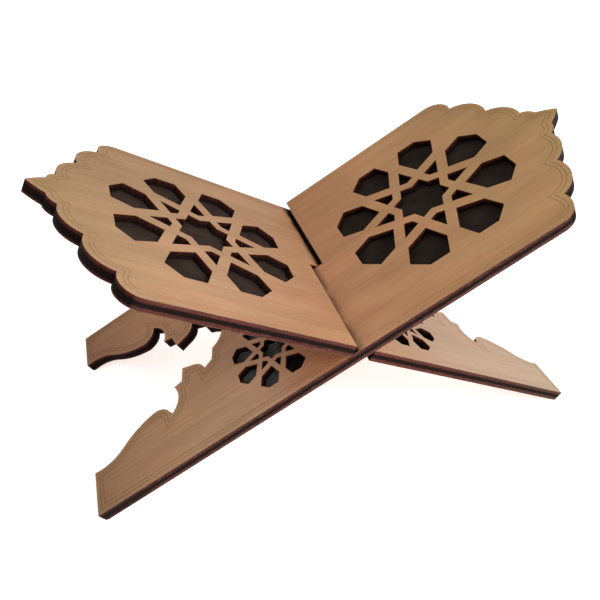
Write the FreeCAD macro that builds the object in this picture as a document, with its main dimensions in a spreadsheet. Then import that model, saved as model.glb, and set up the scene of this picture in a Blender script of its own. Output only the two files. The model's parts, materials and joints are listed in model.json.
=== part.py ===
"""Book stand for a Quran: two identical laser-cut planks that cross as an X.

Each plank is a sandwich of five layers glued face to face: a fretted veneer, board and
core over a plain back board and back veneer.  Each plank has one slot to the middle of its
width, and the two slots pass through each other, so the planks hinge about the line
where they cross.

Every layer is drawn in its plank's own frame: X runs along the plank from the feet to
the ogee tip, Y across it and Z through its thickness, from the middle of the crossing.
The stand's frame has +Z up and its origin on the floor under the crossing.
"""
import FreeCAD
import Part
import Sketcher
import math
import os

DIMENSIONS = {
    # plank
    "plank_width": 200.0,
    "foot_reach": 227.0,        # crossing to the end of the feet
    "tip_reach": 223.0,         # crossing to the ogee tip
    "core_thickness": 3.0,
    "board_thickness": 2.75,
    "veneer_thickness": 0.5,
    "lean": 29.3,               # degrees between a plank and the floor
    "foot_ease": 0.8,           # height of the flat eased on the lower arris of a foot
    # slot
    "slot_play": 0.1,           # width beyond what the lean needs
    "slot_overrun": 1.0,        # length past the middle of the plank
    # large rosette of the panel, and the two small ones of the legs
    "rosette_fold": 8,
    "rosette_centre": 101.8,
    "rosette_apothem": 67.4,
    "star_apothem": 16.15,
    "inner_strap": 6.75,
    "outer_strap": 8.45,
    "petal_half_width": 14.85,
    "small_ratio": 0.5,
    "small_centre_x": -56.5,
    "small_centre_y": 50.0,
    # double line engraved in the veneers
    "outer_inset": 3.75,
    "inner_inset": 6.6,
    "line_width": 0.7,
    "line_depth": 0.15,
}

# Corners of half the outline, from the apex of the arch round a foot to the last cusp:
# name, x, y and the radius of the edge to the next corner.  A positive radius bows out
# of the wood, a negative one hollows it, and 0 is straight.  A number becomes a cell of
# the sheet, and words are an expression on its cells.
HALF_OUTLINE = [
    ("apex", -90.7, 0.0, -21.0),
    ("spandrel", -103.5, 13.3, 0),
    ("step", -107.0, 24.5, 0),
    ("upper_notch", -114.8, 28.4, 13.0),
    ("shoulder", -122.5, 18.3, 0),
    ("upper_spur", -133.7, 14.3, 0),
    ("spur_root", -136.9, 26.9, 0),
    ("lower_spur", -144.7, 28.3, -18.0),
    ("lower_notch", -152.0, 52.7, 13.5),
    ("knee", -165.0, 40.4, 70.0),
    ("ankle", -199.0, 54.8, -37.5),
    ("instep", "-dims.foot_reach", 61.3, 0),
    ("heel", "-dims.foot_reach", "dims.plank_width / 2", 0),
    ("corner", 157.2, "dims.plank_width / 2", 16.0),
    ("outer_cusp", 172.6, 79.0, 24.5),
    ("middle_cusp", 189.5, 47.4, 24.0),
    ("inner_cusp", 204.0, 20.2, 12.4),
    ("ogee_cusp", 211.0, 10.3, 62.0),
]

HALF_CORE = "dims.core_thickness / 2"
HALF_INNER = "(%s + dims.board_thickness)" % HALF_CORE
HALF_PLANK = "(%s + dims.veneer_thickness)" % HALF_INNER
SLOT_WIDTH = "(2 * %s / tan(dims.lean) + dims.slot_play)" % HALF_PLANK
CROSSING_HEIGHT = (
    "(dims.foot_reach * sin(dims.lean) + %s * cos(dims.lean) - dims.foot_ease)" % HALF_PLANK
)

# Each layer: its underside, its thickness, and whether it is fretted.
LAYERS = {
    "front_veneer": (HALF_INNER, "dims.veneer_thickness", True),
    "front_board": (HALF_CORE, "dims.board_thickness", True),
    "core": ("-" + HALF_CORE, "dims.core_thickness", True),
    "back_board": ("-" + HALF_INNER, "dims.board_thickness", False),
    "back_veneer": ("-" + HALF_PLANK, "dims.veneer_thickness", False),
}
FOOT_LAYERS = ("back_board", "back_veneer")     # those that the foot's ease cuts

START, END = 1, 2       # the ends of an edge, in Sketcher's numbering
ORIGIN = -1             # the sketch's own origin, in the same numbering
OVER = 5.0              # how far a cutter runs past the wood

doc = FreeCAD.newDocument("book_stand")
sheet = doc.addObject("Spreadsheet::Sheet", "dims")


def fill_sheet():
    """Write every driving dimension to the sheet, each with its alias."""
    cells = dict(DIMENSIONS)
    for name, x, y, radius in HALF_OUTLINE:
        for suffix, value in (("_x", x), ("_y", y), ("_radius", abs(radius))):
            if value and not isinstance(value, str):
                cells[name + suffix] = value
    for row, (alias, value) in enumerate(cells.items(), start=1):
        sheet.set("A%d" % row, alias)
        sheet.set("B%d" % row, str(value))
        sheet.setAlias("B%d" % row, alias)
    doc.recompute()


def number(expression):
    """What an expression on the sheet comes to now."""
    return float(sheet.evalExpression(str(expression)))


# ---- sketches ------------------------------------------------------------------------

def outline_corners():
    """The whole outline as (x, y, radius, bow) expressions, clockwise from the apex."""
    half = []
    for name, x, y, radius in HALF_OUTLINE:
        x = x if isinstance(x, str) else "dims.%s_x" % name
        y = y if isinstance(y, str) else "dims.%s_y" % name if y else "0"
        half.append((x, y, "dims.%s_radius" % name if radius else None, radius > 0))
    corners = half + [("dims.tip_reach", "0", half[-1][2], half[-1][3])]
    for this, before in zip(reversed(half[1:]), reversed(half[:-1])):
        corners.append((this[0], "-(%s)" % this[1], before[2], before[3]))
    return corners


def arc(start, end, radius, bows_out):
    """The short arc between two corners of a clockwise outline."""
    chord = end - start
    left = FreeCAD.Vector(-chord.y, chord.x, 0).normalize()
    reach = math.sqrt(radius ** 2 - chord.Length ** 2 / 4)
    centre = (start + end) / 2 - left * (reach if bows_out else -reach)
    first, last = (end, start) if bows_out else (start, end)
    angles = [math.atan2(p.y - centre.y, p.x - centre.x) for p in (first, last)]
    circle = Part.Circle(centre, FreeCAD.Vector(0, 0, 1), radius)
    return Part.ArcOfCircle(circle, angles[0], angles[1])


def tie(sketch, kind, geometry, expression):
    """Add a dimension to the sketch and bind it to the sheet."""
    index = sketch.addConstraint(Sketcher.Constraint(kind, *geometry, number(expression)))
    sketch.setExpression("Constraints[%d]" % index, expression)


def draw(sketch, corners):
    """Draw a closed outline and tie its corners and radii to the sheet."""
    points = [FreeCAD.Vector(number(c[0]), number(c[1]), 0) for c in corners]
    starts = []
    for i, (x, y, radius, bows_out) in enumerate(corners):
        here, following = points[i], points[(i + 1) % len(points)]
        if radius is None:
            edge = sketch.addGeometry(Part.LineSegment(here, following), False)
            starts.append((edge, START, END))
            continue
        edge = sketch.addGeometry(arc(here, following, number(radius), bows_out), False)
        starts.append((edge, END, START) if bows_out else (edge, START, END))
        tie(sketch, "Radius", (edge,), radius)
    for i, (edge, start, end) in enumerate(starts):
        following, its_start, its_end = starts[(i + 1) % len(starts)]
        sketch.addConstraint(Sketcher.Constraint("Coincident", edge, end, following, its_start))
        tie(sketch, "DistanceX", (ORIGIN, START, edge, start), corners[i][0])
        tie(sketch, "DistanceY", (ORIGIN, START, edge, start), corners[i][1])


def straight(points):
    """Corners joined by straight edges."""
    return [(x, y, None, False) for x, y in points]


def body_sketch(body, name, corners, role="XY_Plane", centre=("0", "0", "0"), turn=0.0):
    """A sketch on one of the body's own planes, moved to a centre and turned."""
    sketch = body.newObject("Sketcher::SketchObject", name)
    plane = [p for p in body.Origin.OriginFeatures if p.Role == role][0]
    sketch.AttachmentSupport = [(plane, "")]
    sketch.MapMode = "FlatFace"
    sketch.AttachmentOffset = FreeCAD.Placement(
        FreeCAD.Vector(), FreeCAD.Rotation(FreeCAD.Vector(0, 0, 1), turn)
    )
    for axis, value in zip("xyz", centre):
        if value != "0":
            sketch.setExpression("AttachmentOffset.Base." + axis, value)
    draw(sketch, corners)
    sketch.Visibility = False
    return sketch


# ---- the holes of a rosette ----------------------------------------------------------

SECTOR = "(180 deg / dims.rosette_fold)"        # from one axis of a rosette to the next
KITE_BASE = "(dims.star_apothem + dims.inner_strap)"
PETAL_BASE = "(dims.star_apothem + dims.outer_strap)"


def star_corners(scale):
    """The star in the middle: as many points as the rosette has folds."""
    corners = []
    for step in range(DIMENSIONS["rosette_fold"]):
        notch = "%s * dims.star_apothem / cos(%s)" % (scale, SECTOR)
        point = "%s * dims.star_apothem / cos(2 * %s)" % (scale, SECTOR)
        for radius, turns in ((notch, 2 * step), (point, 2 * step + 1)):
            x = "%s * cos(%d * %s)" % (radius, turns, SECTOR)
            y = "%s * sin(%d * %s)" % (radius, turns, SECTOR)
            corners.append((x, y))
    return corners


def kite_corners(scale):
    """A kite on the X axis, its long sides in line with the star's."""
    tip = "%s * dims.star_apothem / sin(%s)" % (scale, SECTOR)
    inner = "%s * %s / cos(%s)" % (scale, KITE_BASE, SECTOR)
    side_x = "%s * (sin(%s) * dims.star_apothem + cos(%s) * %s)" % (
        scale, SECTOR, SECTOR, KITE_BASE)
    side_y = "%s * (cos(%s) * dims.star_apothem - sin(%s) * %s)" % (
        scale, SECTOR, SECTOR, KITE_BASE)
    return [(inner, "0"), (side_x, side_y), (tip, "0"), (side_x, "-" + side_y)]


def petal_corners(scale):
    """A petal on the X axis, six-sided, its outer point on the rosette's octagon."""
    inner = "%s * %s / cos(2 * %s)" % (scale, PETAL_BASE, SECTOR)
    half = "%s * dims.petal_half_width" % scale
    shoulder = "(%s + %s)" % (inner, half)
    brow = "%s * (dims.rosette_apothem - sin(%s) * dims.petal_half_width) / cos(%s)" % (
        scale, SECTOR, SECTOR)
    tip = "%s * dims.rosette_apothem / cos(%s)" % (scale, SECTOR)
    return [
        (inner, "0"), (shoulder, half), (brow, half),
        (tip, "0"), (brow, "-" + half), (shoulder, "-" + half),
    ]


# ---- a layer of a plank --------------------------------------------------------------

def pad(body, name, sketch, length):
    """Fill a sketch upwards."""
    feature = body.newObject("PartDesign::Pad", name)
    feature.Profile = sketch
    feature.setExpression("Length", length)
    doc.recompute()


def pocket(body, name, sketch):
    """Cut a sketch right through the layer, and check that wood was removed."""
    before = body.Shape.Volume
    feature = body.newObject("PartDesign::Pocket", name)
    feature.Profile = sketch
    feature.Type = "ThroughAll"
    feature.Midplane = True
    doc.recompute()
    if feature.Shape.Volume > before - 1e-6:
        raise RuntimeError("%s of %s removes nothing" % (name, body.Label))
    return feature


def repeat_round(body, feature, sketch):
    """Repeat a cut about the middle of its rosette."""
    pattern = body.newObject("PartDesign::PolarPattern", feature.Name + "_ring")
    pattern.Originals = [feature]
    pattern.Axis = (sketch, ["N_Axis"])
    pattern.Angle = 360
    pattern.setExpression("Occurrences", "dims.rosette_fold")
    body.Tip = pattern
    doc.recompute()


def cut_rosette(body, name, centre, scale, level):
    """Star, kites and petals of one rosette, through a fretted layer."""
    place = centre + (level,)
    turn = 180.0 / DIMENSIONS["rosette_fold"]
    star = body_sketch(body, name + "_star", straight(star_corners(scale)), centre=place)
    pocket(body, name + "_star_cut", star)
    kite = body_sketch(body, name + "_kite", straight(kite_corners(scale)), centre=place)
    repeat_round(body, pocket(body, name + "_kite_cut", kite), kite)
    petal = body_sketch(
        body, name + "_petal", straight(petal_corners(scale)), centre=place, turn=turn
    )
    repeat_round(body, pocket(body, name + "_petal_cut", petal), petal)


def cut_slot(body, level):
    """The slot that the other plank passes through, from the middle to the +Y edge."""
    side = SLOT_WIDTH + " / 2"
    far = "(dims.plank_width / 2 + %g)" % OVER
    corners = [
        ("-" + side, "-dims.slot_overrun"), ("-" + side, far),
        (side, far), (side, "-dims.slot_overrun"),
    ]
    sketch = body_sketch(body, "slot", straight(corners), centre=("0", "0", level))
    pocket(body, "slot_cut", sketch)


def ease_foot(body):
    """Take the lower arris off the feet, to a flat that lies on the floor."""
    end = "-dims.foot_reach"
    under = "-" + HALF_PLANK
    corners = [
        (end, under),
        ("%s + dims.foot_ease / sin(dims.lean)" % end, under),
        (end, "%s + dims.foot_ease / cos(dims.lean)" % under),
    ]
    sketch = body_sketch(body, "foot_ease", straight(corners), role="XZ_Plane")
    pocket(body, "foot_ease_cut", sketch)


def build_layer(layer):
    """One layer of a plank, in the plank's own frame."""
    underside, thickness, fretted = LAYERS[layer]
    body = doc.addObject("PartDesign::Body", layer)
    level = ("0", "0", underside)
    pad(body, "sheet", body_sketch(body, "outline", outline_corners(), centre=level), thickness)
    cut_slot(body, underside)
    if fretted:
        cut_rosette(body, "panel", ("dims.rosette_centre", "0"), "1", underside)
        for name, sign in (("far_leg", ""), ("near_leg", "-")):
            centre = ("dims.small_centre_x", sign + "dims.small_centre_y")
            cut_rosette(body, name, centre, "dims.small_ratio", underside)
    if layer in FOOT_LAYERS:
        ease_foot(body)
    return body


# ---- the double line engraved in a veneer --------------------------------------------

def inset_curve(start, end, radius, bows_out, inset):
    """An edge of the outline moved into the wood: its unbounded curve, and the outward
    directions at its two ends."""
    if radius is None:
        outward = FreeCAD.Vector(start.y - end.y, end.x - start.x, 0).normalize()
        return Part.Line(start - outward * inset, end - outward * inset), outward, outward
    full = arc(start, end, number(radius), bows_out)
    sign = 1 if bows_out else -1
    curve = Part.Circle(full.Center, FreeCAD.Vector(0, 0, 1), full.Radius - sign * inset)
    outward = [(point - full.Center).normalize() * sign for point in (start, end)]
    return curve, outward[0], outward[1]


def crossing_near(point, first, second):
    """Where two curves cross, nearest to a point."""
    found = [FreeCAD.Vector(p.X, p.Y, 0) for p in first.intersectCC(second)]
    return min(found, key=lambda p: (p - point).Length)


def inset_wire(inset):
    """The outline moved into the wood, its re-entrant corners drawn out to points."""
    corners = outline_corners()
    points = [FreeCAD.Vector(number(c[0]), number(c[1]), 0) for c in corners]
    moved = [
        inset_curve(point, points[(i + 1) % len(points)], corners[i][2], corners[i][3], inset)
        for i, point in enumerate(points)
    ]
    turns = []          # at each corner: the moved outline's points, from edge to edge
    for i, point in enumerate(points):
        before, after = moved[i - 1][2], moved[i][1]
        if before.cross(after).z < 0:
            turns.append([crossing_near(point, moved[i - 1][0], moved[i][0])])
            continue
        spike = point - (before + after) * (inset / (1 + before.dot(after)))
        turns.append([point - before * inset, spike, point - after * inset])
    edges = []
    for i, (curve, _, _) in enumerate(moved):
        start, following = turns[i][-1], turns[(i + 1) % len(points)]
        if isinstance(curve, Part.Line):
            edges.append(Part.LineSegment(start, following[0]).toShape())
        else:
            edges.append(arc(start, following[0], curve.Radius, corners[i][3]).toShape())
        for here, there in zip(following, following[1:]):
            edges.append(Part.LineSegment(here, there).toShape())
    return Part.Wire(edges)


def engraving_faces():
    """The two lines as flat faces, a line's width across."""
    half = number("dims.line_width / 2")
    lines = []
    for inset in (number("dims.outer_inset"), number("dims.inner_inset")):
        outer = Part.Face(inset_wire(inset - half))
        lines.append(outer.cut(Part.Face(inset_wire(inset + half))))
    return Part.makeCompound(lines)


def engrave(veneer, lines, layer):
    """Cut the double line into the outer face of a veneer."""
    cutter = doc.addObject("Part::Extrusion", layer + "_lines")
    cutter.Base = lines
    cutter.Dir = (0, 0, 1)
    cutter.Solid = True
    cutter.setExpression("LengthFwd", "dims.line_depth + %g" % OVER)
    level = {
        "front_veneer": "%s - dims.line_depth" % HALF_PLANK,
        "back_veneer": "-%s - %g" % (HALF_PLANK, OVER),
    }[layer]
    cutter.setExpression("Placement.Base.z", level)
    engraved = doc.addObject("Part::Cut", layer + "_engraved")
    engraved.Base = veneer
    engraved.Tool = cutter
    return engraved


# ---- the stand -----------------------------------------------------------------------

def lean_over(piece):
    """Lean a layer over at the crossing, so that its panel rises to the right."""
    place = "create(<<placement>>; %s; create(<<rotation>>; %s; -dims.lean))" % (
        "create(<<vector>>; 0; 0; %s)" % CROSSING_HEIGHT,
        "create(<<vector>>; 0; 1; 0)",
    )
    piece.setExpression("Placement", place)


def half_turn(piece, name):
    """The same layer of the other plank, half a turn round the upright axis."""
    twin = doc.addObject("Part::Compound", name)
    twin.Links = [piece]
    twin.Placement = FreeCAD.Placement(
        FreeCAD.Vector(), FreeCAD.Rotation(FreeCAD.Vector(0, 0, 1), 180)
    )
    return twin


def build_stand():
    """Every layer of both planks, by node name."""
    lines = doc.addObject("Part::Feature", "engraved_lines")
    lines.Shape = engraving_faces()
    nodes = {}
    for layer in LAYERS:
        piece = build_layer(layer)
        if layer.endswith("veneer"):
            piece = engrave(piece, lines, layer)
        piece.Label = "right_" + layer
        lean_over(piece)
        nodes["right_" + layer] = piece
    for layer in LAYERS:
        nodes["left_" + layer] = half_turn(nodes["right_" + layer], "left_" + layer)
    doc.recompute()
    return nodes


def export(nodes):
    """Check every object, then write each node's STEP file."""
    for item in doc.Objects:
        if "Invalid" in item.State or "Error" in item.State:
            raise RuntimeError("%s did not build" % item.Label)
    os.makedirs("parts", exist_ok=True)
    for name, piece in nodes.items():
        if piece.Shape.isNull() or not piece.Shape.isValid() or len(piece.Shape.Solids) != 1:
            raise RuntimeError("%s is not one valid solid" % name)
        shape = piece.Shape.Solids[0]
        shape.exportStep("parts/%s.step" % name)
        box = shape.optimalBoundingBox()
        print("%-20s %9.0f mm3  x %.1f..%.1f  y %.1f..%.1f  z %.2f..%.2f" % (
            name, shape.Volume, box.XMin, box.XMax, box.YMin, box.YMax, box.ZMin, box.ZMax))


fill_sheet()
export(build_stand())
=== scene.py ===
"""Looks for the folding book stand: veneered, laser-cut planks on a pale studio floor."""

import json
import math
from functools import partial

import bpy
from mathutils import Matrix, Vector


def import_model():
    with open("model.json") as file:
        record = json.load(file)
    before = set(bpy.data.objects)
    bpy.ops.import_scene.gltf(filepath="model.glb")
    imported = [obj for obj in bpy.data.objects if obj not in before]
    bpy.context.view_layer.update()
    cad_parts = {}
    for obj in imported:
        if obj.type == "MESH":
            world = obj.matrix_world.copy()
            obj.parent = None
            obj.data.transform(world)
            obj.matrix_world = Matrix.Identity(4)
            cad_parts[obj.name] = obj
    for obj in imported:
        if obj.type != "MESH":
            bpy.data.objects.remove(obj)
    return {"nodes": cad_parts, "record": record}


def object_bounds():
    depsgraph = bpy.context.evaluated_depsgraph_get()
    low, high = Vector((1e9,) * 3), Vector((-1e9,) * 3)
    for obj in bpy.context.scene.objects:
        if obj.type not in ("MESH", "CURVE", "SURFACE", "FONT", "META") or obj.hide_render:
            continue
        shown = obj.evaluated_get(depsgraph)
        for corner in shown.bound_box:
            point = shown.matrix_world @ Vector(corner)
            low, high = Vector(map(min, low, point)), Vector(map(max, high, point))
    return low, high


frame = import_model()
CAD_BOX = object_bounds()

SIDES = {"right": 1.0, "left": -1.0}    # each plank, and which way along X it rises
LAYERS = ("front_veneer", "front_board", "core", "back_board", "back_veneer")
HINGE = Vector(frame["record"]["behaviour"]["joints"][0]["pos_m"])
LEAN = math.radians(29.3)       # between a plank and the floor
FEET, TIP = -0.227, 0.223       # the ends of a plank, from the crossing
HALF_WIDTH = CAD_BOX[1].y       # of a plank
SLOT_EDGE = -0.0085             # the edge of a slot on the feet's side, from the crossing
FACE = 0.00475                  # from the middle of a plank to its faces,
CORE_FACE = 0.0015              # and to the faces of its core
LINE_DEPTH = 0.00015            # of the lines engraved in the veneers
LINES_WITHIN = 0.0072           # both lines are nearer than this to a straight edge
ROSE = 0.1018                   # the middle of a panel's fretwork, from the crossing,
ROSE_REACH = 0.073              # and the fretwork's radius


# ---- node helpers --------------------------------------------------------------------

class Nodes:
    """A few short ways of adding shader nodes to one material."""

    def __init__(self, name):
        self.material = bpy.data.materials.new(name)
        self.material.use_nodes = True
        self.tree = self.material.node_tree
        self.tree.nodes.clear()
        self.shader = self.add("ShaderNodeBsdfPrincipled")
        output = self.add("ShaderNodeOutputMaterial")
        self.link(self.shader.outputs["BSDF"], output.inputs["Surface"])

    def add(self, kind):
        return self.tree.nodes.new(kind)

    def link(self, source, target):
        self.tree.links.new(source, target)

    def put(self, value, socket):
        """Wire an output to a socket, or set the socket's own value."""
        if isinstance(value, bpy.types.NodeSocket):
            self.link(value, socket)
        else:
            socket.default_value = value

    def math(self, operation, a, b=0.0, clamp=False):
        node = self.add("ShaderNodeMath")
        node.operation = operation
        node.use_clamp = clamp
        self.put(a, node.inputs[0])
        self.put(b, node.inputs[1])
        return node.outputs[0]

    def product(self, value, *others):
        """Values multiplied together."""
        for other in others:
            value = self.math("MULTIPLY", value, other)
        return value

    def step(self, value, low, high):
        """0 below low and 1 above high, smoothly between; low may be above high."""
        node = self.add("ShaderNodeMapRange")
        node.interpolation_type = "SMOOTHSTEP"
        self.put(value, node.inputs["Value"])
        node.inputs["From Min"].default_value = low
        node.inputs["From Max"].default_value = high
        return node.outputs["Result"]

    def band(self, value, low, full_from, full_to, high):
        """1 between the two inner values, and 0 beyond the outer two."""
        return self.product(self.step(value, low, full_from), self.step(value, high, full_to))

    def remap(self, value, low, high, to_low, to_high):
        node = self.add("ShaderNodeMapRange")
        self.put(value, node.inputs["Value"])
        node.inputs["From Min"].default_value = low
        node.inputs["From Max"].default_value = high
        node.inputs["To Min"].default_value = to_low
        node.inputs["To Max"].default_value = to_high
        return node.outputs["Result"]

    def dot(self, vector, direction):
        node = self.add("ShaderNodeVectorMath")
        node.operation = "DOT_PRODUCT"
        self.put(vector, node.inputs[0])
        node.inputs[1].default_value = direction
        return node.outputs["Value"]

    def combine(self, x, y, z):
        node = self.add("ShaderNodeCombineXYZ")
        for value, socket in zip((x, y, z), node.inputs):
            self.put(value, socket)
        return node.outputs[0]

    def noise(self, vector, scale=1.0, detail=3.0, roughness=0.55, distortion=0.0):
        node = self.add("ShaderNodeTexNoise")
        self.put(vector, node.inputs["Vector"])
        node.inputs["Scale"].default_value = scale
        node.inputs["Detail"].default_value = detail
        node.inputs["Roughness"].default_value = roughness
        node.inputs["Distortion"].default_value = distortion
        return node.outputs["Fac"]

    def mix(self, factor, a, b, blend="MIX"):
        node = self.add("ShaderNodeMix")
        node.data_type = "RGBA"
        node.blend_type = blend
        self.put(factor, node.inputs["Factor"])
        self.put(a if isinstance(a, bpy.types.NodeSocket) else (*a, 1.0), node.inputs["A"])
        self.put(b if isinstance(b, bpy.types.NodeSocket) else (*b, 1.0), node.inputs["B"])
        return node.outputs["Result"]

    def times(self, colour, factors):
        """A colour with its red, green and blue each multiplied."""
        return self.mix(1.0, colour, factors, "MULTIPLY")

    def over(self, under, top, *masks):
        """One colour laid over another, as far as the masks multiplied together say."""
        return self.mix(self.product(*masks), under, top)

    def patches(self, noise, dark, light, low=0.3, high=0.7):
        """Patches of two colours, the dark one where the noise is low."""
        return self.mix(self.step(noise, low, high), dark, light)

    def finish(self, colour, roughness, specular):
        """Give the shader its colour, its roughness and the strength of its reflections."""
        self.put(colour, self.shader.inputs["Base Color"])
        self.put(roughness, self.shader.inputs["Roughness"])
        self.shader.inputs["Specular IOR Level"].default_value = specular

    def bump(self, height, strength, distance):
        node = self.add("ShaderNodeBump")
        node.inputs["Strength"].default_value = strength
        node.inputs["Distance"].default_value = distance
        self.link(height, node.inputs["Height"])
        self.link(node.outputs["Normal"], self.shader.inputs["Normal"])


class Plank(Nodes):
    """A material on one plank.  In metres from the crossing, u runs along the plank to its
    tip, y across it and w through it to its front face; inset is how far a point is in from
    the straight edges, and depth how far it is below the nearer face."""

    def __init__(self, name, side):
        super().__init__("%s_%s" % (name, side))
        self.side = side
        turn = SIDES[side]
        along = Vector((turn * math.cos(LEAN), 0.0, math.sin(LEAN)))
        self.across = Vector((0.0, turn, 0.0))
        self.through = Vector((-turn * math.sin(LEAN), 0.0, math.cos(LEAN)))
        self.u = self.offset(along)
        self.y = self.offset(self.across)
        self.w = self.offset(self.through)
        self.inset = self.math("SUBTRACT", HALF_WIDTH, self.math("ABSOLUTE", self.y))
        self.depth = self.math("SUBTRACT", FACE, self.math("ABSOLUTE", self.w))

    def offset(self, direction):
        """How far a point is from the crossing, in one direction."""
        place = self.add("ShaderNodeTexCoord").outputs["Object"]
        return self.math("SUBTRACT", self.dot(place, direction), direction.dot(HINGE))

    def facing(self, direction):
        """How squarely the surface faces a direction or its opposite, from 0 to 1."""
        normal = self.add("ShaderNodeTexCoord").outputs["Normal"]
        return self.math("ABSOLUTE", self.dot(normal, direction))

    def in_panel(self):
        """0 in the legs and 1 in the panel."""
        return self.step(self.u, -0.010, 0.010)


def srgb(red, green, blue):
    """A colour as it is seen, 0 to 255, as the shader's linear values."""
    def linear(level):
        level /= 255.0
        return level / 12.92 if level <= 0.04045 else ((level + 0.055) / 1.055) ** 2.4
    return tuple(linear(level) for level in (red, green, blue))


# ---- veneer --------------------------------------------------------------------------

FRONT, REAR = 0, 1              # the two edges' colours in a row of TONES

# The veneers' colours from the feet to the tip: (metres from the crossing, colour at the
# front edge, colour at the rear edge). They are partly the veneers' own tone and partly
# painted light and shade: the changes from front to rear and along each plank stand in
# part for how the light falls on it.
TONES = {
    "right": [
        (-0.215, srgb(124, 92, 60), srgb(124, 82, 48)),
        (-0.140, srgb(152, 120, 88), srgb(154, 110, 74)),
        (-0.070, srgb(156, 124, 98), srgb(170, 124, 90)),
        (-0.020, srgb(147, 97, 65), srgb(144, 99, 65)),
        (0.015, srgb(167, 122, 88), srgb(146, 101, 63)),
        (0.080, srgb(153, 114, 76), srgb(152, 111, 73)),
        (0.210, srgb(144, 115, 73), srgb(140, 107, 64)),
    ],
    "left": [
        (-0.215, srgb(160, 136, 110), srgb(160, 136, 110)),
        (-0.080, srgb(164, 135, 113), srgb(172, 141, 113)),
        (-0.020, srgb(172, 134, 99), srgb(142, 101, 66)),
        (0.015, srgb(166, 123, 90), srgb(144, 105, 70)),
        (0.110, srgb(167, 129, 97), srgb(141, 107, 72)),
        (0.210, srgb(149, 119, 82), srgb(130, 101, 63)),
    ],
}

# The number that sets each plank's grain apart from the other's.
SHEET = {"right": 0.0, "left": 3.7}

# How the engraved lines colour the veneer: in the legs, in the panel, and along the
# straight edges of the legs and of the panel. Each factor is the engraving's scorch with
# painted light added to lift the shade in the grooves; the left plank's are above 1.
SCORCH_AND_PAINTED_LIGHT = {
    "right": ((0.71, 0.63, 0.50), (0.89, 0.85, 0.73), (0.76, 0.69, 0.57), (0.95, 0.93, 0.82)),
    "left": ((1.02, 0.98, 0.90), (0.89, 0.85, 0.73), (1.08, 1.05, 0.96), (1.08, 1.05, 0.96)),
}


def veneer_grain(plank, along, across, **look):
    """Noise by the metre along and across the plank, the same all through the veneer."""
    u = plank.product(plank.u, along)
    y = plank.product(plank.y, across)
    return plank.noise(plank.combine(u, y, SHEET[plank.side]), **look)


def edge_tones(plank, edge):
    """The colours at one straight edge, as they run along the plank."""
    ramp = plank.add("ShaderNodeValToRGB")
    plank.link(plank.remap(plank.u, FEET, TIP, 0.0, 1.0), ramp.inputs["Fac"])
    stops = ramp.color_ramp.elements
    for i, (place, *colours) in enumerate(TONES[plank.side]):
        position = (place - FEET) / (TIP - FEET)
        stop = stops[i] if i < 2 else stops.new(position)
        stop.position = position
        stop.color = (*colours[edge], 1.0)
    return ramp.outputs["Color"]


def veneer_tone_and_light(plank):
    """The veneer's tone, with painted light and shade, along the plank and front to rear."""
    front_edge = -SIDES[plank.side] * HALF_WIDTH
    rearward = plank.remap(plank.y, front_edge, -front_edge, 0.0, 1.0)
    return plank.mix(rearward, edge_tones(plank, FRONT), edge_tones(plank, REAR))


def grained(plank, base, lines, pores):
    """The grain: soft bands, clouds, streaks and lines, then veins, open grain, short dark
    flecks and a blush."""
    grain = partial(veneer_grain, plank)
    bands = plank.step(grain(2.2, 50.0, detail=2.0, distortion=0.4), 0.30, 0.70)
    clouds = plank.step(grain(14.0, 34.0, detail=4.0, roughness=0.6), 0.32, 0.68)
    streaks = plank.step(grain(7.0, 160.0, roughness=0.65, distortion=0.6), 0.32, 0.66)
    fine = plank.step(lines, 0.32, 0.66)
    tone = 0.0
    for part, weight in ((bands, 0.28), (clouds, 0.40), (streaks, 0.20), (fine, 0.12)):
        tone = plank.math("ADD", tone, plank.product(part, weight), clamp=True)
    darker = plank.times(base, (0.80, 0.76, 0.71))
    lighter = plank.times(base, (1.16, 1.17, 1.18))
    wood = plank.mix(tone, darker, lighter)
    veins = plank.step(grain(3.0, 130.0, detail=2.0, distortion=0.5), 0.60, 0.74)
    wood = plank.over(wood, plank.times(base, (0.74, 0.62, 0.52)), veins, 0.45)
    opened = plank.step(grain(9.0, 420.0, detail=2.0, distortion=0.3), 0.50, 0.64)
    if plank.side == "right":       # open from the feet to low in the panel
        where = plank.step(plank.u, 0.085, 0.045)
    else:                           # open near the front edge
        where = plank.step(plank.y, 0.030, 0.070)
    wood = plank.over(wood, plank.times(base, (0.80, 0.71, 0.63)), opened, where, 0.38)
    if plank.side == "left":        # its legs are plainer
        wood = plank.over(wood, base, plank.step(plank.u, 0.0, -0.03), 0.45)
    flecks = plank.step(pores, 0.62, 0.72)
    wood = plank.over(wood, plank.times(base, (0.50, 0.42, 0.36)), flecks, 0.30)
    blush = plank.step(grain(16.0, 28.0, detail=2.0), 0.48, 0.66)
    return plank.over(wood, plank.times(wood, (1.06, 0.975, 0.99)), blush, 0.8)


def engraved(plank, base, wood):
    """Colour the engraved lines, least along the straight edges, with some darker spots:
    scorch, lifted with painted light against the shade in the grooves.
    """
    legs, panel, legs_straight, panel_straight = SCORCH_AND_PAINTED_LIGHT[plank.side]
    in_panel = plank.in_panel()
    elsewhere = plank.mix(in_panel, legs, panel)
    straight = plank.mix(in_panel, legs_straight, panel_straight)
    beside_edge = plank.step(plank.inset, LINES_WITHIN + 0.0018, LINES_WITHIN)
    scorch_and_light = plank.mix(beside_edge, elsewhere, straight)
    spots = plank.step(veneer_grain(plank, 230.0, 230.0, detail=1.0), 0.52, 0.64)
    scorch_and_light = plank.over(scorch_and_light, plank.times(scorch_and_light, (0.72, 0.66, 0.60)), spots, 0.7)
    sunk = plank.step(plank.depth, 0.1 * LINE_DEPTH, 0.5 * LINE_DEPTH)
    return plank.mix(sunk, wood, plank.times(base, scorch_and_light))


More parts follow.
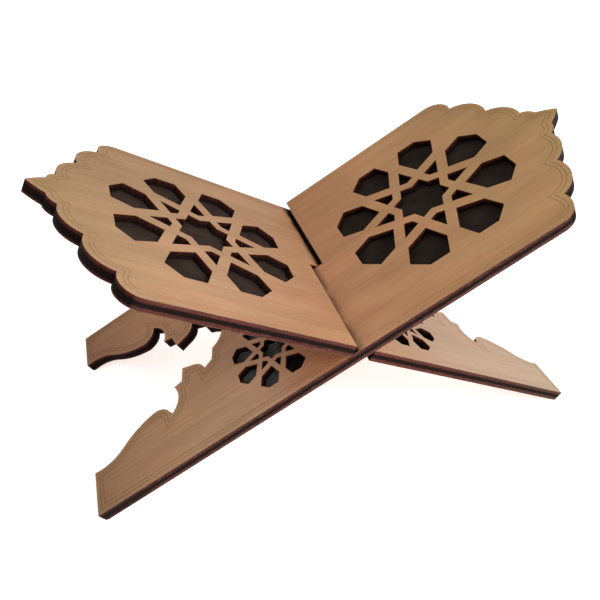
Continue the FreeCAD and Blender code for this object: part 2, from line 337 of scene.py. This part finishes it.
def painted_crevice_shade(plank, wood):
    """Painted shade in the crevice around the crossing, on the half with no slot, which sits
    in the other's: a black band, fading out beside it as a brown painted shadow.
    """
    grain = partial(veneer_grain, plank)
    rise = plank.product(plank.u, plank.math("SIGN", plank.w))  # falls on the back face
    fray = plank.remap(grain(260.0, 260.0), 0.3, 0.7, -0.0007, 0.0007)
    ragged = plank.math("ADD", rise, fray)
    no_slot = plank.step(plank.y, 0.0015, -0.0005)
    held = plank.product(no_slot, plank.step(rise, SLOT_EDGE - 0.0013, SLOT_EDGE - 0.0003))
    painted_shadow_fade = plank.product(held, plank.step(ragged, 0.0050, 0.0))
    cloudy = plank.step(grain(60.0, 40.0, detail=2.0), 0.36, 0.58)
    # painted shadow: a brown fade beside the crevice
    wood = plank.over(wood, srgb(104, 62, 38), painted_shadow_fade, cloudy, 0.75)
    # painted shade: black deep in the crevice between the planks
    black = plank.product(held, plank.step(rise, SLOT_EDGE + 0.0005, SLOT_EDGE + 0.0035))
    return plank.over(wood, srgb(20, 11, 8), black, plank.step(ragged, 0.0002, -0.0018))


def trimmed(plank, base, wood):
    """Burn the walls of the outline and the cut-outs, darken the straight edges, and wear
    the corners along them."""
    side_on = plank.step(plank.facing(plank.through), 0.8, 0.4)
    below_lines = plank.step(plank.depth, LINE_DEPTH, LINE_DEPTH + 0.00005)
    at_edge = plank.step(plank.inset, 0.0006, 0.0002)
    char = veneer_grain(plank, 240.0, 240.0)
    burnt = plank.patches(char, srgb(52, 24, 16), srgb(86, 46, 30), 0.35, 0.65)
    wood = plank.over(wood, burnt, side_on, plank.math("MAXIMUM", below_lines, at_edge))
    corner = plank.step(plank.inset, 0.0011, 0.0002)
    worn = plank.step(veneer_grain(plank, 120.0, 400.0), 0.48, 0.62)
    return plank.over(wood, plank.times(base, (0.70, 0.60, 0.52)), corner, worn, 0.45)


def veneer(side):
    """Fine straight-grained beech, engraved and laser-cut."""
    plank = Plank("veneer", side)
    base = veneer_tone_and_light(plank)
    lines = veneer_grain(plank, 30.0, 700.0, roughness=0.6)
    pores = veneer_grain(plank, 150.0, 1300.0, detail=2.0)
    wood = grained(plank, base, lines, pores)
    wood = engraved(plank, base, wood)
    wood = painted_crevice_shade(plank, wood)
    wood = trimmed(plank, base, wood)
    plank.finish(wood, plank.remap(lines, 0.3, 0.7, 0.62, 0.48), specular=0.28)
    plank.bump(plank.math("SUBTRACT", lines, plank.product(pores, 0.6)), 0.22, 0.0003)
    return plank.material


# ---- boards and core -----------------------------------------------------------------

# The floors of the fretwork: in the legs on the feet's side and on the crossing's, and in
# the panel. The right plank's light blue-grey by the feet is a painted sheen of the white
# surround, and its near-black by the crossing is the painted shadow of the other plank.
RECESS = {
    "right": (srgb(78, 84, 82), srgb(26, 20, 16), srgb(39, 33, 29)),
    "left": (srgb(24, 14, 11), srgb(24, 14, 11), srgb(55, 44, 39)),
}

# The sawn edges of the boards: the dull and the fresh parts of the front board, then those
# of the back board.
SAWN = {
    "right": (srgb(50, 23, 20), srgb(82, 43, 37), srgb(64, 37, 33), srgb(94, 59, 53)),
    "left": (srgb(62, 29, 26), srgb(106, 58, 50), srgb(62, 29, 26), srgb(106, 58, 50)),
}

# The walls of the panels' fretwork, less black than the other cut walls: their dark and
# their light parts.
WALLS = {
    "right": (srgb(11, 7, 5), srgb(27, 17, 13)),
    "left": (srgb(20, 12, 11), srgb(42, 28, 24)),
}


def board_grain(plank, along, through, detail=4.0, roughness=0.65):
    """Noise by the metre, the same along and across the plank, and another way through."""
    u = plank.product(plank.u, along)
    y = plank.product(plank.y, along)
    w = plank.product(plank.w, through)
    return plank.noise(plank.combine(u, y, w), detail=detail, roughness=roughness)


def straight_edges(plank):
    """1 on the sawn straight edges, 0 elsewhere."""
    beside = plank.step(plank.inset, 0.0020, 0.0008)
    return plank.product(beside, plank.step(plank.facing(plank.across), 0.7, 0.95))


def in_panel_fretwork(plank):
    """1 within the round of a panel's fretwork, 0 beyond it."""
    along = plank.math("SUBTRACT", plank.u, ROSE)
    square = plank.math("ADD", plank.product(along, along), plank.product(plank.y, plank.y))
    return plank.step(square, (ROSE_REACH + 0.008) ** 2, ROSE_REACH ** 2)


def ashen(plank, colour):
    """The right plank's cut edges have a film of blue-grey ash around the tip."""
    if plank.side == "left":
        return colour
    return plank.over(colour, srgb(49, 49, 52), plank.step(plank.u, 0.172, 0.192), 0.40)


def sawn_board(plank, fibres):
    """The boards' straight edges: fibres of two colours, darker in places and beside the
    core, dusty, duller by the feet, and smeared with glue under the core."""
    dull, fresh, back_dull, back_fresh = SAWN[plank.side]
    front = plank.patches(fibres, dull, fresh)
    back = plank.patches(fibres, back_dull, back_fresh)
    sawn = plank.mix(plank.step(plank.w, 0.0, -0.0005), front, back)
    clouds = plank.step(board_grain(plank, 45.0, 45.0, detail=3.0), 0.35, 0.65)
    sawn = plank.over(sawn, srgb(58, 32, 28), clouds, 0.5)
    off_middle = plank.math("ABSOLUTE", plank.w)
    beside_core = plank.step(off_middle, CORE_FACE + 0.0011, CORE_FACE + 0.0002)
    sawn = plank.over(sawn, srgb(26, 14, 11), beside_core, 0.7)
    if plank.side == "right":
        dustiness, dulled, dullness = 0.45, srgb(34, 24, 20), 0.8
        by_feet = plank.step(plank.u, -0.172, -0.200)
    else:
        dustiness, dulled, dullness = 0.22, srgb(66, 49, 39), 0.75
        by_feet = plank.step(plank.u, -0.060, -0.215)
    dust = plank.step(board_grain(plank, 160.0, 900.0, detail=3.0), 0.50, 0.68)
    sawn = plank.over(sawn, srgb(112, 84, 80), dust, dustiness)
    sawn = plank.over(sawn, dulled, by_feet, dullness)
    glue = plank.step(board_grain(plank, 420.0, 900.0, detail=1.0), 0.60, 0.66)
    under_core = plank.band(plank.w, -0.0026, -0.0021, -0.0017, -0.0014)
    return plank.over(sawn, srgb(132, 108, 92), glue, under_core, 0.35)


def charred_board(plank, streaks):
    """The boards' laser-cut walls: a dark red rim under the front veneer, soot below it,
    and a dull red line along the back board."""
    rim = plank.patches(streaks, srgb(46, 18, 15), srgb(78, 36, 29), high=0.75)
    soot = plank.patches(streaks, srgb(5, 3, 3), srgb(18, 11, 9), high=0.75)
    fretwork = plank.patches(streaks, *WALLS[plank.side], high=0.75)
    soot = plank.mix(in_panel_fretwork(plank), soot, fretwork)
    charred = plank.mix(plank.step(plank.w, 0.0010, 0.0038), soot, rim)
    line = plank.band(plank.w, -0.0043, -0.0037, -0.0032, -0.0024)
    return plank.over(charred, srgb(52, 27, 23), line, 0.8)


def fretwork_floors(plank, fibres):
    """The boards' faces, which show only as the floors of the fretwork: a dark stain, with
    painted sheen and painted shadow in the right plank's legs.
    """
    by_feet, by_crossing, panel = RECESS[plank.side]
    # painted sheen by the feet and painted shadow of the other plank by the crossing, parted
    # where that shadow's edge falls
    plain = plank.mix(plank.step(plank.u, -0.057, -0.049), by_feet, by_crossing)
    plain = plank.mix(plank.in_panel(), plain, panel)
    mottle = board_grain(plank, 60.0, 60.0)
    floor_tone = plank.patches(mottle, plank.times(plain, (0.62, 0.58, 0.56)), plain)
    specks = plank.step(fibres, 0.55, 0.75)
    return plank.over(floor_tone, plank.times(plain, (1.9, 1.8, 1.7)), specks, 0.4)


def board(side):
    """Red-brown fibreboard: sawn along the straight edges, charred by the laser elsewhere,
    and with a dark stain on its faces, where the fretwork's floors also carry painted light
    and shade."""
    plank = Plank("board", side)
    fibres = board_grain(plank, 700.0, 1600.0)
    streaks = board_grain(plank, 900.0, 60.0, detail=2.0)
    charred = charred_board(plank, streaks)
    walls = ashen(plank, plank.mix(straight_edges(plank), charred, sawn_board(plank, fibres)))
    face_on = plank.step(plank.facing(plank.through), 0.7, 0.95)
    wood = plank.mix(face_on, walls, fretwork_floors(plank, fibres))
    plank.finish(wood, plank.remap(fibres, 0.3, 0.7, 0.9, 0.7), specular=0.03)
    plank.bump(plank.math("ADD", fibres, streaks), 0.35, 0.0003)
    return plank.material


def core(side):
    """Dark fibreboard, blackened by the laser and a little browner where it was sawn."""
    plank = Plank("core", side)
    mottle = board_grain(plank, 60.0, 60.0, roughness=0.55)
    fibres = board_grain(plank, 840.0, 840.0, roughness=0.7)
    charred = plank.patches(fibres, srgb(6, 4, 3), srgb(20, 13, 10))
    charred = plank.mix(in_panel_fretwork(plank), charred, plank.patches(fibres, *WALLS[side]))
    sawn = plank.patches(fibres, srgb(14, 9, 7), srgb(34, 23, 19))
    wood = ashen(plank, plank.mix(straight_edges(plank), charred, sawn))
    plank.finish(wood, plank.remap(mottle, 0.3, 0.7, 0.85, 0.7), specular=0.03)
    plank.bump(fibres, 0.3, 0.0003)
    return plank.material


def dress(name, material):
    """Give one layer of a plank its material."""
    piece = frame["nodes"][name]
    piece.data.materials.clear()
    piece.data.materials.append(material)


for side in SIDES:
    materials = {"veneer": veneer(side), "board": board(side), "core": core(side)}
    for layer in LAYERS:
        dress("%s_%s" % (side, layer), materials[layer.split("_")[-1]])


# ---- stage ---------------------------------------------------------------------------

def floor():
    """A plain pale floor, far larger than the view."""
    bpy.ops.mesh.primitive_plane_add(size=12.0, location=(0.0, 0.0, 0.0))
    plane = bpy.context.object
    plane.name = "floor"
    nodes = Nodes("floor")
    grit = nodes.noise(nodes.add("ShaderNodeTexCoord").outputs["Object"], scale=40.0)
    nodes.finish(nodes.mix(grit, (0.90, 0.90, 0.90), (0.93, 0.93, 0.93)), 0.9, specular=0.5)
    nodes.shader.inputs["Emission Color"].default_value = (1.0, 1.0, 1.0, 1.0)
    nodes.shader.inputs["Emission Strength"].default_value = 0.55
    plane.data.materials.append(nodes.material)


def area_light(name, place, target, size, power):
    """A square soft light that faces its target."""
    data = bpy.data.lights.new(name, "AREA")
    data.shape = "SQUARE"
    data.size = size
    data.energy = power
    light = bpy.data.objects.new(name, data)
    light.location = place
    light.rotation_euler = (Vector(target) - Vector(place)).to_track_quat("-Z", "Y").to_euler()
    bpy.context.scene.collection.objects.link(light)


def world(strength):
    """An even white surround."""
    surround = bpy.data.worlds.new("surround")
    surround.use_nodes = True
    background = surround.node_tree.nodes["Background"]
    background.inputs["Color"].default_value = (1.0, 1.0, 1.0, 1.0)
    background.inputs["Strength"].default_value = strength
    bpy.context.scene.world = surround


def camera():
    """The view of the stand from above, in front and a little to the left."""
    azimuth, elevation, roll = math.radians(-18.06), math.radians(40.77), math.radians(0.41)
    distance, slide, rise = 0.47976, -0.01555, -0.03725
    back = Vector((
        math.sin(azimuth) * math.cos(elevation),
        -math.cos(azimuth) * math.cos(elevation),
        math.sin(elevation),
    ))
    right = (-back).cross(Vector((0.0, 0.0, 1.0))).normalized()
    up = right.cross(-back)
    data = bpy.data.cameras.new("camera")
    data.sensor_width = 36.0
    data.lens = 35.32
    data.shift_x = 0.0059
    data.shift_y = 0.0292
    data.clip_start = 0.01
    view = bpy.data.objects.new("camera", data)
    view.location = HINGE + back * distance + right * slide + up * rise
    view.rotation_euler = (-back).to_track_quat("-Z", "Y").to_euler()
    view.rotation_euler.rotate_axis("Z", roll)
    bpy.context.scene.collection.objects.link(view)
    bpy.context.scene.camera = view


floor()
world(strength=0.95)
area_light("key", place=(1.0, -1.3, 1.6), target=(0.0, 0.0, 0.1), size=0.8, power=34.0)
camera()
bpy.context.scene.view_settings.view_transform = "Standard"
